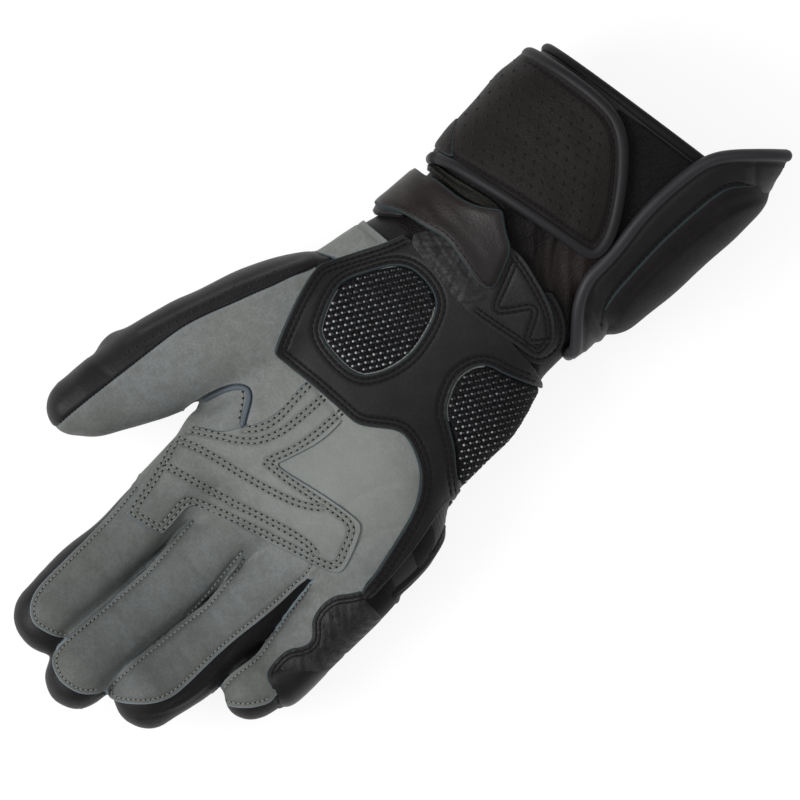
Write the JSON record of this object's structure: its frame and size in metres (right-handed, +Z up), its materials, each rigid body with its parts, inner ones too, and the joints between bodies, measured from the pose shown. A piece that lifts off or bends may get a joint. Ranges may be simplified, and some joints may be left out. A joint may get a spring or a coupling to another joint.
{
  "type": "motorcycle glove",
  "caption": "Right-hand leather motorcycle gauntlet glove, palm up, with padded cuff flap, flared cuff wing, wrist strap, grip inserts and palm reinforcement.",
  "frame": {"origin": "on the surface it lies on, under the middle of the glove's bounding box", "axes": "+Z up out of the palm, +Y from the fingertips to the cuff, +X towards the little finger's side"},
  "size_m": [0.1525, 0.3502, 0.0642],
  "materials": {
    "grey_leather": "matt grey-green leather with a fine grain",
    "black_leather": "soft black leather, semi-matt, fine grain",
    "black_piping": "smooth rolled piping and binding, satin",
    "grip_fabric": "woven grip fabric with small pale raised dots",
    "thread": "bonded sewing thread, satin",
    "raw_edge": "cut leather edge, blue-grey and matt",
    "loop_fabric": "fuzzy fastening tape"
  },
  "bodies": {
    "root": {"palm_leather": "grey_leather", "hand_back": "black_leather", "thumb_front": "grey_leather", "thumb_side": "black_leather", "thumb_back": "black_leather", "index_front": "grey_leather", "index_back": "black_leather", "middle_front": "grey_leather", "middle_back": "black_leather", "ring_front": "grey_leather", "ring_side": "black_leather", "ring_back": "black_leather", "little_front": "grey_leather", "little_back": "black_leather", "heel_patch": "black_leather", "heel_insert": "grip_fabric", "side_insert": "grip_fabric", "palm_overlay": "grey_leather", "little_overlay": "black_leather", "wrist_panel": "grey_leather", "wrist_front": "black_leather", "cuff_front": "black_leather", "cuff_back": "black_leather", "cuff_binding": "black_piping", "cuff_loop": "loop_fabric", "cuff_flap": "black_leather", "flap_piping": "black_piping", "cuff_gusset": "black_leather", "cuff_wing": "black_leather", "wing_piping": "black_piping", "wing_guard": "black_leather", "strap_under_pad": "black_leather", "strap_landing": "black_leather", "wrist_strap": "black_leather"}
  },
  "joints": []
}
